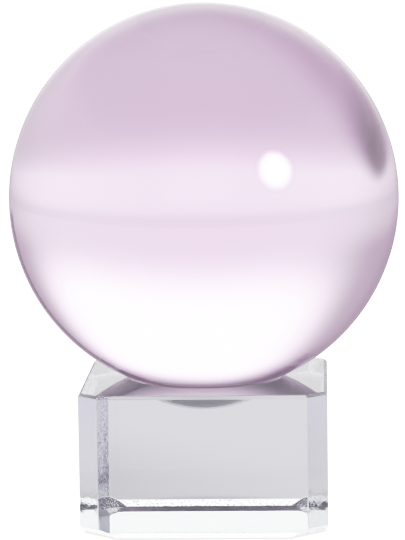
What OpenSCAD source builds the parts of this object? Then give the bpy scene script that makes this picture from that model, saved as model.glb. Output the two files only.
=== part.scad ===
// A solid glass ball resting in a shallow round seat in the top of a bevelled glass block.
// The ball is loose: only its own weight holds it in the seat, so it lifts straight off.

/* [Ball] */
// Diameter of the ball
ball_d = 80; // [60:1:100]

/* [Stand] */
// Width of the stand, side to side
stand_w = 50; // [40:1:70]
// Depth of the stand, front to back
stand_depth = 50; // [40:1:70]
// Height of the stand
stand_h = 29; // [18:1:45]

/* [Bevels] */
// How far each upright corner is cut back along both of its sides
corner_cut = 4; // [1:0.5:6]
// Bevel round the edge of the top face
top_bevel = 0.6; // [0.2:0.1:1.5]
// Bevel round the underside, along the four sides
foot_bevel = 1.3; // [0.3:0.1:2]
// Height of the flatter bevel under each upright corner
foot_corner_rise = 2; // [0.5:0.1:3]
// How far the bevel under each upright corner runs in towards the middle
foot_corner_inset = 3.4; // [0.5:0.1:4]

/* [Seat] */
// Diameter of the seat's rim, which carries the ball
seat_d = 31.5; // [16:0.5:34]
// Gap between the ball and the seat's rim
seat_gap = 0.2; // [0.1:0.05:0.4]
// Height of the air pocket between the ball's lowest point and the bottom of the seat
seat_pocket = 2.4; // [0.4:0.1:4]

/* [Hidden] */

// From the ball's centre to the seat's rim
ball_to_rim = ball_d / 2 + seat_gap;
// How high the ball's centre is over the stand's top face, where the rim is
ball_over_top = sqrt(ball_to_rim * ball_to_rim - seat_d * seat_d / 4);
// Height of the ball's centre
ball_z = stand_h + ball_over_top;
// How far the ball reaches down into the seat
ball_sink = ball_d / 2 - ball_over_top;
// Depth of the seat in its middle
seat_depth = ball_sink + seat_pocket;
// The seat is part of a sphere, more tightly curved than the ball, so that the ball rests on its rim.
seat_r = (seat_d * seat_d / 4 + seat_depth * seat_depth) / (2 * seat_depth);
// Each upright corner is a flat at 45 degrees. This is the distance between opposite flats.
across_corners = (stand_w + stand_depth - 2 * corner_cut) / sqrt(2);
// Longer than the block in any direction
bar_length = 2 * (stand_w + stand_depth);
// Facets of a full circle, where a viewer draws one
smooth = 180;

module crystal_ball() {
    color("thistle")
    translate([0, 0, ball_z])
    sphere(d = ball_d, $fn = smooth);
}

module crystal_stand() {
    color("gainsboro")
    difference() {
        bevelled_block();
        translate([0, 0, stand_h - seat_depth + seat_r]) sphere(r = seat_r, $fn = smooth);
    }
}

// The block is what four long bars share: two across its sides and two across its corners.
module bevelled_block() {
    intersection() {
        bar(stand_w, foot_bevel, foot_bevel);
        rotate([0, 0, 90]) bar(stand_depth, foot_bevel, foot_bevel);
        rotate([0, 0, 45]) bar(across_corners, foot_corner_rise, foot_corner_inset);
        rotate([0, 0, -45]) bar(across_corners, foot_corner_rise, foot_corner_inset);
    }
}

// A bar along Y, as high as the block, with its top and bottom long edges bevelled
module bar(width, foot_rise, foot_inset) {
    half = width / 2;
    rotate([90, 0, 0])
    linear_extrude(height = bar_length, center = true)
    polygon([
        [foot_inset - half, 0],
        [half - foot_inset, 0],
        [half, foot_rise],
        [half, stand_h - top_bevel],
        [half - top_bevel, stand_h],
        [top_bevel - half, stand_h],
        [-half, stand_h - top_bevel],
        [-half, foot_rise]
    ]);
}

crystal_ball();
crystal_stand();
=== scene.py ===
# %% [markdown]
# # A crystal ball on its glass stand
#
# A crystal ball for telling fortunes is two pieces of glass: a solid ball, tinted all through, and a clear
# block with a shallow seat ground into its top. Nothing holds the ball but its own weight. All that is
# seen in it is the room behind it, turned upside down, so the room is half of the model: a pale table with
# painted shade and a painted shadow on it, a bright wall and one round lamp.

# %% The imported model
import math

import bmesh
import bpy
from mathutils import Matrix, Vector


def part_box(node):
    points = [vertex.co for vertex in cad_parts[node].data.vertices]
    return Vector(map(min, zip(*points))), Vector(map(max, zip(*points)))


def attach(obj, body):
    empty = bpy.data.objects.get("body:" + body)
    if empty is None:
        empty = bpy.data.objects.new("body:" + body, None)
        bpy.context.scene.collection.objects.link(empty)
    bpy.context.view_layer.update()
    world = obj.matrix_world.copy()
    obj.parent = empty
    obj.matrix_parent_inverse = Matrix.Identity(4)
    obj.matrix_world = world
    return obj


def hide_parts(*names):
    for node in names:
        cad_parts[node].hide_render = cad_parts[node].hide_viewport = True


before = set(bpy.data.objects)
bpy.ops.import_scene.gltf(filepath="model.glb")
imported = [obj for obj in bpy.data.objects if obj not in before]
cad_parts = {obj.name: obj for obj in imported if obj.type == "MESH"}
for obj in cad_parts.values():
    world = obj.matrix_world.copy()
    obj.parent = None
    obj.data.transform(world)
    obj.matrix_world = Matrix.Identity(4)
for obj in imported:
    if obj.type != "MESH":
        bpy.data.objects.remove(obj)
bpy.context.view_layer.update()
mm = 0.001

ball_low, ball_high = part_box("crystal_ball")
ball_centre = (ball_low + ball_high) / 2
ball_radius = min((ball_high - ball_low) / 2)
stand_low, stand_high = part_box("crystal_stand")
print(f"ball: {2 * ball_radius / mm:.1f} mm across, its centre {ball_centre.z / mm:.1f} mm up")

# %% [markdown]
# ## The camera
#
# A small object is usually shot with a long lens from some way off, which keeps upright edges parallel.
# The camera looks down a little, so that the top of the stand shows as a thin strip, and it stands a
# touch to the right. Its own slight lean is kept, because a level camera would turn the bottom edge.

# %% Camera
aim = Vector((-0.47, 0, 51)) * mm
distance = 620 * mm
down, right, lean = math.radians(7.5), math.radians(2.4), math.radians(-0.8)

camera = bpy.data.objects.new("camera", bpy.data.cameras.new("camera"))
bpy.context.collection.objects.link(camera)
towards = Vector((-math.sin(right) * math.cos(down), math.cos(right) * math.cos(down), -math.sin(down)))
camera.location = aim - towards * distance
level = towards.to_track_quat("-Z", "Y").to_matrix()
camera.rotation_euler = (level @ Matrix.Rotation(lean, 3, "Z")).to_euler()
camera.data.sensor_width = 36
camera.data.lens = 200.7
bpy.context.scene.camera = camera
print(f"camera: a {camera.data.lens:.0f} mm lens, {distance:.2f} m away")

# %% [markdown]
# ## The ball
#
# A glass ball is ground between two rotating cups until it is round to a few hundredths of a millimetre,
# then polished. A UV sphere would have two poles, where its long thin faces pinch what is seen through
# them. An icosphere has even triangles all over, so it bends light evenly. Seven subdivisions make
# triangles of less than a millimetre, small enough that the outline is a true circle.

# %% Ball


def new_piece(name, shape, *finishes):
    """Turn a finished bmesh into an object at the origin, with its place in its mesh."""
    mesh = bpy.data.meshes.new(name)
    shape.to_mesh(mesh)
    shape.free()
    piece = bpy.data.objects.new(name, mesh)
    bpy.context.collection.objects.link(piece)
    for finish in finishes:
        mesh.materials.append(finish)
    print(f"{name}: {len(mesh.polygons)} faces")
    return piece


def make_ball():
    """The ball, smooth all over, where it rests."""
    shape = bmesh.new()
    bmesh.ops.create_icosphere(
        shape, subdivisions=7, radius=ball_radius, matrix=Matrix.Translation(ball_centre)
    )
    for face in shape.faces:
        face.smooth = True
    return shape


# %% [markdown]
# ## The stand
#
# A stand like this starts as a sawn block. Each bevel is one pass on a flat grinding wheel, so each is one
# flat cut here too: `grind` takes off all that lies beyond a plane and closes the cut with one face. A
# Bevel modifier could do the upright corners, but not the underside, where the bevel under each corner is
# flatter and wider than the bevels along the sides. Each cut also says which finish it leaves: the sides and
# the top bevel are polished, the corners are ground by hand, and the bevels under the block are only ground.

# %% Sizes of the stand
corner_cut = 4 * mm
top_bevel = 0.6 * mm
foot_bevel = 1.3 * mm
foot_corner_rise = 2 * mm
foot_corner_inset = 3.4 * mm
seat_rim = 31.5 / 2 * mm
seat_pocket = 2.4 * mm
seat_depth = stand_high.z - ball_low.z + seat_pocket
arris = 0.12 * mm

POLISHED, CORNER, GROUND, SEAT, ARRIS, BASE = range(6)
half_width = (stand_high.x - stand_low.x) / 2
half_depth = (stand_high.y - stand_low.y) / 2
to_corner_flat = (half_width + half_depth - corner_cut) / math.sqrt(2)
UP = Vector((0, 0, 1))

# %% Grinding one flat


def grind(block, through, facing, finish):
    """Take off all of the block beyond a plane, and close the cut with one flat face."""
    everything = block.verts[:] + block.edges[:] + block.faces[:]
    cut = bmesh.ops.bisect_plane(
        block, geom=everything, dist=1e-7, plane_co=through, plane_no=facing, clear_outer=True
    )
    rim = [part for part in cut["geom_cut"] if isinstance(part, bmesh.types.BMEdge)]
    flat = bmesh.ops.contextual_create(block, geom=rim)["faces"][0]
    flat.material_index = finish


def sides_and_corners():
    """The eight ways that the upright flats face, with how far each is from the middle."""
    for turn in range(8):
        facing = Matrix.Rotation(turn * math.tau / 8, 3, "Z") @ Vector((1, 0, 0))
        if turn % 2:
            yield facing, to_corner_flat, True
        else:
            yield facing, half_width if turn % 4 == 0 else half_depth, False


def ground_block():
    """The block with its corners and bevels ground, before the seat."""
    block = bmesh.new()
    size = stand_high - stand_low
    middle = (stand_high + stand_low) / 2
    bmesh.ops.create_cube(block, size=1, matrix=Matrix.Translation(middle) @ Matrix.Diagonal(size.to_4d()))
    top, base = stand_high.z, stand_low.z
    for facing, reach, corner in sides_and_corners():
        if corner:
            grind(block, facing * reach, facing, CORNER)
    for facing, reach, corner in sides_and_corners():
        grind(block, facing * reach + UP * (top - top_bevel), facing + UP, POLISHED)
        rise = foot_corner_rise if corner else foot_bevel
        inset = foot_corner_inset if corner else foot_bevel
        grind(block, facing * reach + UP * (base + rise), facing * rise - UP * inset, GROUND)
    min(block.faces, key=lambda face: face.calc_center_median().z).material_index = BASE
    return block


# %% [markdown]
# ## The seat
#
# The seat is ground with a round tool that is smaller than the ball, so the ball rests on the seat's rim
# and a lens of air stays under it. It is a turned shape, so its outline is spun about the upright axis, and
# the flat top face is filled in again between the seat's rim and the block's edges.

# %% Seat
ARC_STEPS, ROUND_STEPS = 24, 144
TOUCHING = 1e-6


def cut_seat(block):
    """Spin the seat into the top of the block, and fill the flat top face in round it."""
    top = stand_high.z
    seat_radius = (seat_rim ** 2 + seat_depth ** 2) / (2 * seat_depth)
    seat_centre = UP * (top - seat_depth + seat_radius)
    rim_angle = math.asin(seat_rim / seat_radius)
    arc = [rim_angle * (1 - step / ARC_STEPS) for step in range(ARC_STEPS + 1)]
    outline = [Vector((seat_rim + mm, 0, top))]
    outline += [seat_centre + seat_radius * Vector((math.sin(a), 0, -math.cos(a))) for a in arc]
    verts = [block.verts.new(point) for point in outline]
    edges = [block.edges.new(pair) for pair in zip(verts, verts[1:])]

    top_face = max(block.faces, key=lambda face: face.calc_center_median().z)
    block_rim = top_face.edges[:]
    bmesh.ops.delete(block, geom=[top_face], context="FACES_ONLY")
    before = set(block.faces)
    bmesh.ops.spin(
        block, geom=verts + edges, cent=(0, 0, 0), axis=UP, angle=math.tau, steps=ROUND_STEPS, use_merge=True
    )
    bmesh.ops.remove_doubles(block, verts=block.verts[:], dist=TOUCHING)
    for face in set(block.faces) - before:
        flat = all(abs(vert.co.z - top) < TOUCHING for vert in face.verts)
        face.material_index = POLISHED if flat else SEAT
        face.smooth = not flat
    hole = [
        edge
        for edge in block.edges
        if edge.is_boundary and all(abs(vert.co.xy.length - seat_rim - mm) < TOUCHING for vert in edge.verts)
    ]
    bmesh.ops.triangle_fill(block, edges=block_rim + hole, use_beauty=True)
    print(f"seat: {2 * seat_rim / mm:.1f} mm across, {seat_depth / mm:.2f} mm deep")


# %% [markdown]
# ## Worn edges
#
# Every edge of a glass block is broken by one fine stroke of the wheel, or it would chip. The strip that it
# leaves, the arris, is less than a fifth of a millimetre wide and matt, so it catches light from end to end. An
# edge without it looks drawn, not ground. One Bevel operator does all the sharp edges together, and the small
# turns between the facets of the seat are left alone.

# %% Worn edges and the whole stand
SHARP = 0.3


def wear_edges(block):
    """Break every edge that turns by more than SHARP radians."""
    sharp = [edge for edge in block.edges if edge.is_manifold and edge.calc_face_angle() > SHARP]
    worn = bmesh.ops.bevel(
        block, geom=sharp, offset=arris, offset_type="OFFSET", segments=2, profile=0.5,
        affect="EDGES", material=-1, clamp_overlap=True,
    )
    for face in worn["faces"]:
        face.smooth = True
        face.material_index = ARRIS


def make_stand():
    """The whole stand, closed all round."""
    block = ground_block()
    cut_seat(block)
    bmesh.ops.recalc_face_normals(block, faces=block.faces[:])
    wear_edges(block)
    open_edges = sum(1 for edge in block.edges if not edge.is_manifold)
    print(f"stand: {open_edges} open edges, {block.calc_volume() / mm ** 3:.0f} mm3")
    return block


# %% [markdown]
# ## Glass
#
# Clear glass is one Principled shader with full transmission and the index of crown glass. The tint isn't
# on the surface: it is the glass itself, which takes away a little light for each millimetre that the light
# runs through it, and takes most from the green. So the colour is a Volume Absorption, and the ball is
# deepest in colour where the way through it is longest. A maker would state a tint by what is left of red,
# green and blue after a given run of glass, and `glass` works the absorption out from that.

# %% Glass shaders
GLASS_IOR = 1.52
ABSORPTION_DENSITY = 40


def glass(name, left, run, roughness=0.0):
    """A glass that keeps the shares `left` of red, green and blue over a run of so many metres."""
    material = bpy.data.materials.new(name)
    material.use_nodes = True
    nodes, links = material.node_tree.nodes, material.node_tree.links
    shader = nodes["Principled BSDF"]
    shader.inputs["Base Color"].default_value = (1, 1, 1, 1)
    shader.inputs["Roughness"].default_value = roughness
    shader.inputs["IOR"].default_value = GLASS_IOR
    shader.inputs["Transmission Weight"].default_value = 1
    inside = nodes.new("ShaderNodeVolumeAbsorption")
    tint = [1 + math.log(share) / (run * ABSORPTION_DENSITY) for share in left]
    inside.inputs["Color"].default_value = (*tint, 1)
    inside.inputs["Density"].default_value = ABSORPTION_DENSITY
    links.new(inside.outputs["Volume"], nodes["Material Output"].inputs["Volume"])
    return material


LAVENDER = ((0.885, 0.63, 0.875), 80 * mm)
CLEAR = ((0.955, 0.95, 0.99), 50 * mm)

# %% [markdown]
# ## Marks in the surface
#
# No hand-worked glass is truly flat. What is seen through a polished face swims a little, because the polish
# leaves shallow waves. Each mark here is a bump with its own height in metres, on Object coordinates, which
# keeps a millimetre a millimetre. Some finishes also change from place to place, so `vary` makes one setting
# of a finish follow a pattern or a distance, and `smooth_step` softens where the change begins and ends.

# %% Marks in the surface


def noise(tree, size, stretch=(1, 1, 1), turn=(0, 0, 0), detail=1.0):
    """Soft random marks, each about `size` metres across."""
    place = tree.nodes.new("ShaderNodeTexCoord").outputs["Object"]
    mapping = tree.nodes.new("ShaderNodeMapping")
    mapping.inputs["Rotation"].default_value = turn
    mapping.inputs["Scale"].default_value = stretch
    tree.links.new(place, mapping.inputs["Vector"])
    marks = tree.nodes.new("ShaderNodeTexNoise")
    marks.inputs["Scale"].default_value = 1 / size
    marks.inputs["Detail"].default_value = detail
    tree.links.new(mapping.outputs["Vector"], marks.inputs["Vector"])
    return marks.outputs["Fac"]


def emboss(material, marks, height):
    """Press marks into a finish, `height` metres deep."""
    tree = material.node_tree
    bump = tree.nodes.new("ShaderNodeBump")
    bump.inputs["Distance"].default_value = height
    tree.links.new(marks, bump.inputs["Height"])
    tree.links.new(bump.outputs["Normal"], tree.nodes["Principled BSDF"].inputs["Normal"])


def smooth_step(tree, value, start, end, low, high):
    """Go softly from `low` to `high` while a value goes from `start` to `end`."""
    step = tree.nodes.new("ShaderNodeMapRange")
    step.interpolation_type = "SMOOTHERSTEP"
    for socket, number in (("From Min", start), ("From Max", end), ("To Min", low), ("To Max", high)):
        step.inputs[socket].default_value = number
    tree.links.new(value, step.inputs["Value"])
    return step.outputs["Result"]


def distance_from(tree, point, along=0.0, stretch=1.0):
    """How far each place is from a point, with distances along one direction counted `stretch` times less."""
    place = tree.nodes.new("ShaderNodeTexCoord").outputs["Object"]
    mapping = tree.nodes.new("ShaderNodeMapping")
    mapping.vector_type = "TEXTURE"
    mapping.inputs["Location"].default_value = point
    mapping.inputs["Rotation"].default_value = (0, 0, along)
    mapping.inputs["Scale"].default_value = (stretch, 1, 1)
    tree.links.new(place, mapping.inputs["Vector"])
    apart = tree.nodes.new("ShaderNodeVectorMath")
    apart.operation = "LENGTH"
    tree.links.new(mapping.outputs["Vector"], apart.inputs[0])
    return apart.outputs["Value"]


def vary(material, setting, value, start, end, low, high):
    """Make one setting of a finish follow a value."""
    tree = material.node_tree
    tree.links.new(
        smooth_step(tree, value, start, end, low, high), tree.nodes["Principled BSDF"].inputs[setting]
    )


# %% [markdown]
# ## The polished finishes
#
# The ball has long, shallow waves, and faint smears where hands have held it, which are only a little rougher
# than the polish. The waves in the sides and the top of the block are half as high. The cut corners are held
# by hand against the wheel, so their waves are short and six times as high as those in the sides, and what
# is seen through them breaks up.

# %% Polished finishes
lavender_glass = glass("lavender_glass", *LAVENDER)
tree = lavender_glass.node_tree
emboss(lavender_glass, noise(tree, 14 * mm), 0.02 * mm)
vary(lavender_glass, "Roughness", noise(tree, 9 * mm, detail=3.0), 0.6, 0.75, 0.0, 0.03)

clear_glass = glass("clear_glass", *CLEAR)
emboss(clear_glass, noise(clear_glass.node_tree, 12 * mm), 0.01 * mm)

corner_glass = glass("corner_glass", *CLEAR)
emboss(corner_glass, noise(corner_glass.node_tree, 1.5 * mm, detail=4.0), 0.06 * mm)

# %% [markdown]
# ## The ground finishes
#
# The bevels under the block are ground and never polished, so a fine slanted hatch stays in them, and parts of
# it let less light through. The seat, which the ball hides, is taken to be polished with less care: it is
# clear in its middle and cloudier from there to its rim. A worn edge is matt. The underside is set grey and
# lets through little more than a third of the light, so what is seen in it is darker.

# %% Ground finishes
ground_glass = glass("ground_glass", *CLEAR, roughness=0.08)
hatch = noise(
    ground_glass.node_tree, 0.5 * mm, stretch=(1, 1, 0.25), turn=(0.6, 0.6, 0.6), detail=3.0
)
emboss(ground_glass, hatch, 0.12 * mm)
ground_glass.node_tree.nodes["Principled BSDF"].inputs["Base Color"].default_value = (0.92, 0.92, 1, 1)
vary(ground_glass, "Transmission Weight", hatch, 0.46, 0.58, 1, 0.7)

seat_glass = glass("seat_glass", *CLEAR)
tree = seat_glass.node_tree
emboss(seat_glass, noise(tree, 4 * mm, detail=2.0), 0.02 * mm)
from_seat_floor = distance_from(tree, UP * (stand_high.z - seat_depth))
vary(seat_glass, "Transmission Weight", from_seat_floor, 3.5 * mm, 6.5 * mm, 1, 0.5)

worn_glass = glass("worn_glass", *CLEAR, roughness=0.3)

# The underside is set grey and lets through little more than a third of the light.
base_glass = glass("base_glass", *CLEAR)
base_shader = base_glass.node_tree.nodes["Principled BSDF"]
base_shader.inputs["Transmission Weight"].default_value = 0.38
base_shader.inputs["Base Color"].default_value = (0.6, 0.59, 0.64, 1)

# %% [markdown]
# ## The two pieces
#
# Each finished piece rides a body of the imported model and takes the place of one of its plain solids. The
# order of the stand's finishes is the order of the numbers that its faces carry.

# %% Pieces
ball = new_piece("crystal_ball_glass", make_ball(), lavender_glass)
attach(ball, "ball")
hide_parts("crystal_ball")

finishes = (clear_glass, corner_glass, ground_glass, seat_glass, worn_glass, base_glass)
stand = new_piece("crystal_stand_glass", make_stand(), *finishes)
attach(stand, "stand")
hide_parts("crystal_stand")

# %% [markdown]
# ## The room that the glass sees
#
# Glass shows the room, not itself. A pale wall goes all the way round, a brighter card stands behind the
# object, a touch to the right, and overhead is dark. That is how glass is lit on a pale ground: the bright
# part fills it, and the dark parts draw its edges. Light near the ball's rim is bent the most, so what the
# rim shows stands nearly square to the line of sight. There is a soft shade there on the left and a thin
# black flag on the right.
#
# None of this needs meshes. It is a function of direction in the world, in degrees: `height` is over the
# horizon, `turned` is round from straight behind, with the right positive, `off_card` is round from the
# middle of the card, and `off_back` is from a point behind the object and a little under the horizon.
# Mirrored light doesn't see this room. What the glass mirrors on its outside is a dome, further on.

# %% Sums in a node tree


def combine(tree, operation, *terms):
    """Chain terms, each a socket or a number, with one operation."""
    total = terms[0]
    for term in terms[1:]:
        step = tree.nodes.new("ShaderNodeMath")
        step.operation = operation
        for socket, value in zip(step.inputs, (total, term)):
            if isinstance(value, bpy.types.NodeSocket):
                tree.links.new(value, socket)
            else:
                socket.default_value = value
        total = step.outputs[0]
    return total


def product(tree, *terms):
    return combine(tree, "MULTIPLY", *terms)


def one_of(tree, operation, value):
    """One operation on one value."""
    step = tree.nodes.new("ShaderNodeMath")
    step.operation = operation
    tree.links.new(value, step.inputs[0])
    return step.outputs[0]


def size_of(tree, value):
    return one_of(tree, "ABSOLUTE", value)


def axes(tree, coordinates="Object"):
    """X, Y and Z of each place, or of each direction, as three sockets."""
    split = tree.nodes.new("ShaderNodeSeparateXYZ")
    tree.links.new(tree.nodes.new("ShaderNodeTexCoord").outputs[coordinates], split.inputs[0])
    return split.outputs["X"], split.outputs["Y"], split.outputs["Z"]


def degrees_round(tree, x, y):
    """The angle round from straight behind, with the right positive."""
    return product(tree, combine(tree, "ARCTAN2", x, y), math.degrees(1))


# %% Wall, card and ceiling
WALL_LIGHT, CARD_LIGHT = 1.32, 2.2
CARD_TURNED = 6

world = bpy.data.worlds.new("room")
world.use_nodes = True
bpy.context.scene.world = world
world.cycles_visibility.glossy = False
tree = world.node_tree

x, y, z = axes(tree, "Generated")
height = product(tree, one_of(tree, "ARCSINE", z), math.degrees(1))
turned = degrees_round(tree, x, y)
off_card = size_of(tree, combine(tree, "SUBTRACT", turned, CARD_TURNED))

off_side = product(
    tree, smooth_step(tree, off_card, 18, 62, 0, 0.44), smooth_step(tree, height, 0, 12, 0.2, 1)
)
wall_light = product(
    tree,
    WALL_LIGHT,
    combine(tree, "SUBTRACT", 1, off_side),
    smooth_step(tree, turned, -70, -25, 0.8, 1),
    smooth_step(tree, turned, 40, 75, 1, 0.86),
)
card_light = product(
    tree, smooth_step(tree, off_card, 10, 58, CARD_LIGHT, 0), smooth_step(tree, height, 1, 26, 0, 1)
)
overhead = smooth_step(tree, height, 38, 68, 1, 0.04)

# %% Shade, flag and the whole room
towards_back = tree.nodes.new("ShaderNodeVectorMath")
towards_back.operation = "DOT_PRODUCT"
towards_back.inputs[1].default_value = Vector((-0.04, 0.99, -0.13)).normalized()
tree.links.new(tree.nodes.new("ShaderNodeTexCoord").outputs["Generated"], towards_back.inputs[0])
off_back = product(tree, one_of(tree, "ARCCOSINE", towards_back.outputs["Value"]), math.degrees(1))

shade = product(
    tree,
    smooth_step(tree, off_back, 60, 84, 0, 0.3),
    smooth_step(tree, off_back, 90, 108, 1, 0),
    smooth_step(tree, turned, -20, 20, 1, 0.2),
)
flag = product(
    tree,
    smooth_step(tree, off_back, 73, 76, 0, 0.97),
    smooth_step(tree, off_back, 80, 82, 1, 0),
    smooth_step(tree, turned, -20, 20, 0, 1),
)
sides = product(tree, combine(tree, "MAXIMUM", shade, flag), smooth_step(tree, height, 0, 4, 0, 1))
room_light = product(
    tree, combine(tree, "ADD", wall_light, card_light), overhead, combine(tree, "SUBTRACT", 1, sides)
)
sky = tree.nodes["Background"]
sky.inputs["Color"].default_value = (0.99, 1.04, 1, 1)
tree.links.new(room_light, sky.inputs["Strength"])
print("room:", len(tree.nodes), "nodes")

# %% [markdown]
# ## The lamp
#
# One round lamp stands in front on the right, higher than the ball, and makes the round highlight on it. It is
# a disc that glows most in its middle, so that the highlight has a soft edge. Light that goes through the
# glass passes it by, or the lamp's dark edge would show in the ball as a black ring when seen from behind.

# %% Cards that glow


def glowing(name):
    """A material that only glows, and its Emission node."""
    material = bpy.data.materials.new(name)
    material.use_nodes = True
    nodes, links = material.node_tree.nodes, material.node_tree.links
    nodes.remove(nodes["Principled BSDF"])
    glow = nodes.new("ShaderNodeEmission")
    links.new(glow.outputs["Emission"], nodes["Material Output"].inputs["Surface"])
    return material, glow


def disc(name, radius, place, finish, facing=UP):
    """A round flat card."""
    shape = bmesh.new()
    turn = facing.to_track_quat("Z", "Y").to_matrix().to_4x4()
    bmesh.ops.create_circle(
        shape, cap_ends=True, segments=96, radius=radius, matrix=Matrix.Translation(place) @ turn
    )
    card = new_piece(name, shape, finish)
    return card


def hide_from(card, *rays):
    """Keep a card out of what some kinds of light see."""
    for ray in rays:
        setattr(card, f"visible_{ray}", False)


# %% Lamp
lamp_turned, lamp_high = math.radians(45), math.radians(18.3)
lamp_away, lamp_radius = 0.55, 0.12
lamp_way = Vector((math.sin(lamp_turned), -math.cos(lamp_turned), math.tan(lamp_high))).normalized()
lamp_place = ball_centre + lamp_way * lamp_away

lamp_glow, glow = glowing("lamp_glow")
tree = lamp_glow.node_tree
from_lamp = distance_from(tree, lamp_place)
tree.links.new(smooth_step(tree, from_lamp, 0.02, lamp_radius, 45, 0), glow.inputs["Strength"])
lamp = disc("lamp", lamp_radius, lamp_place, lamp_glow, -lamp_way)
hide_from(lamp, "camera", "transmission")

# %% [markdown]
# ## The table
#
# The ball turns the table upside down, so the table is seen in the upper half of it. Its light and shade
# are painted: it is darkest under the block, brightest some 40 cm off and dimmer beyond and to both sides,
# and it carries a painted shadow, long and soft, where the lamp would throw the ball's shadow past it. All
# of it is one glowing disc whose strength is worked out from the place on it, which is quicker to tune than
# real lamps and has no grain. It lies a hair under the block. Neither the camera nor mirrored light sees it.

# %% Table
painted_table_light, glow = glowing("painted_table_light")
tree = painted_table_light.node_tree
# The painted shadow of the ball: a long soft streak of less light on the table, where the lamp would cast it.
shadow_turned, shadow_away, shadow_stretch = math.radians(51), 0.26, 3.4
shadow_way = Vector((-math.sin(shadow_turned), math.cos(shadow_turned), 0))
shadow_along = math.atan2(shadow_way.y, shadow_way.x)
from_shadow = distance_from(tree, shadow_way * shadow_away, shadow_along, shadow_stretch)
from_middle = distance_from(tree, (0, 0, 0))
x, y, _ = axes(tree)
round_table = degrees_round(tree, x, y)

left_side = combine(
    tree,
    "MAXIMUM",
    smooth_step(tree, round_table, -130, -100, 1, 0.76),
    smooth_step(tree, round_table, -70, -25, 0.76, 1),
)
right_side = combine(
    tree,
    "MAXIMUM",
    smooth_step(tree, round_table, 100, 130, 0.8, 1),
    smooth_step(tree, round_table, 25, 70, 1, 0.8),
)
# Painted light and shade on the table: shade under and round the block, a brighter ring further off, dimmer
# sides and the ball's painted shadow.
table_light = product(
    tree,
    smooth_step(tree, from_middle, 0.17, 0.42, 1, 1.7),
    smooth_step(tree, from_middle, 0.4, 2, 1, 0.84),
    smooth_step(tree, from_middle, 0.035, 0.15, 0.84, 0.86),
    smooth_step(tree, from_middle, 0.028, 0.04, 0.42, 1),
    smooth_step(tree, from_shadow, 0.01, 0.102, 0.22, 1),
    left_side,
    right_side,
)
tree.links.new(table_light, glow.inputs["Strength"])

table_tint = tree.nodes.new("ShaderNodeCombineColor")
table_tint.inputs["Red"].default_value = 1
table_tint.inputs["Blue"].default_value = 1.02
table_green = smooth_step(tree, from_middle, 0.17, 0.42, 0.985, 1.07)
tree.links.new(table_green, table_tint.inputs["Green"])
tree.links.new(table_tint.outputs["Color"], glow.inputs["Color"])
table = disc("table", 6, UP * -0.4 * mm, painted_table_light)
hide_from(table, "camera", "glossy")

# %% [markdown]
# ## What the outside of the glass mirrors
#
# Polished glass mirrors a few hundredths of what stands in front of it, and far more at a grazing angle. If
# it mirrored the same room that it lets through, the sheen and the view could not be set apart. So a dome
# that only mirrored light sees stands round everything. It is dim below, pale from the horizon up, brighter
# above it in front and behind, and dark overhead.

# %% Dome
dome_light, glow = glowing("dome_light")
tree = dome_light.node_tree
x, _, z = axes(tree)
strip = product(
    tree, smooth_step(tree, z, 0.15, 0.5, 0, 0.8), smooth_step(tree, size_of(tree, x), 0.5, 2, 1, 0)
)
dome_strength = product(
    tree,
    combine(tree, "ADD", smooth_step(tree, z, -0.3, 0, 0.42, 0.8), strip),
    smooth_step(tree, z, 0.8, 1.4, 1, 0.8),
    smooth_step(tree, z, 1.5, 3, 1, 0.2),
)
tree.links.new(dome_strength, glow.inputs["Strength"])


def ball_shell(name, radius, finish):
    """A hollow ball round everything."""
    shape = bmesh.new()
    bmesh.ops.create_icosphere(shape, subdivisions=4, radius=radius)
    shell = new_piece(name, shape, finish)
    return shell


dome = ball_shell("dome", 4, dome_light)
hide_from(dome, "camera", "transmission", "diffuse")

# %% [markdown]
# ## The white ground
#
# The object is shown on plain white, as on a cut-out picture. Only the camera sees this floor and the wall
# behind it. The floor is dimmer under the block and just round it, or the block would seem to float. That
# shade has the eight sides of the underside: `off_stand` is the same all round it, because the corners are
# measured along both axes together, less the amount by which they stand further out that way.

# %% White floor and wall
WHITE, CONTACT = 3, 1.1
corners_further = 17.5 * mm

white_floor, glow = glowing("white_floor")
tree = white_floor.node_tree
x, y, _ = axes(tree)
x_size, y_size = size_of(tree, x), size_of(tree, y)
off_corner = combine(tree, "ADD", x_size, y_size, -corners_further)
off_stand = combine(tree, "MAXIMUM", x_size, y_size, off_corner)
tree.links.new(smooth_step(tree, off_stand, 24 * mm, 25.4 * mm, CONTACT, WHITE), glow.inputs["Strength"])
floor = disc("floor", 4, UP * -0.2 * mm, white_floor)

white_wall, glow = glowing("white_wall")
glow.inputs["Strength"].default_value = WHITE
wall = ball_shell("wall", 4.2, white_wall)
for card in (floor, wall):
    hide_from(card, "glossy", "transmission", "diffuse")

# %% [markdown]
# ## Film
#
# A camera rolls its highlights off: light that is twice as bright as white paper is not twice as bright in
# the picture. The Standard view clips there instead, and would turn the tinted highlights of the ball plain
# white. So a curve comes before it, straight up to 0.6 and then bending over softly. Light crosses two or
# more faces at every turn inside glass, so the bounces are raised well over their defaults, or the deepest
# reflections in the stand turn black.

# %% Film and bounces
scene = bpy.context.scene
scene.view_settings.view_transform = "Standard"
scene.view_settings.use_curve_mapping = True
film = scene.view_settings.curve_mapping
BRIGHTEST, STRAIGHT, SOFTNESS = 3.0, 0.6, 1.7
film.white_level = (BRIGHTEST,) * 3
curve = film.curves[3]
curve.points[1].location = (1, 1)
for light in (0.3, STRAIGHT, 0.8, 1.0, 1.3, 1.7, 2.2):
    over = max(0, light - STRAIGHT)
    room_left = 1 - STRAIGHT
    shown = min(light, STRAIGHT) + room_left * math.tanh(over / room_left / SOFTNESS)
    curve.points.new(light / BRIGHTEST, shown)
film.update()

scene.cycles.max_bounces = 32
scene.cycles.glossy_bounces = 24
scene.cycles.transmission_bounces = 32
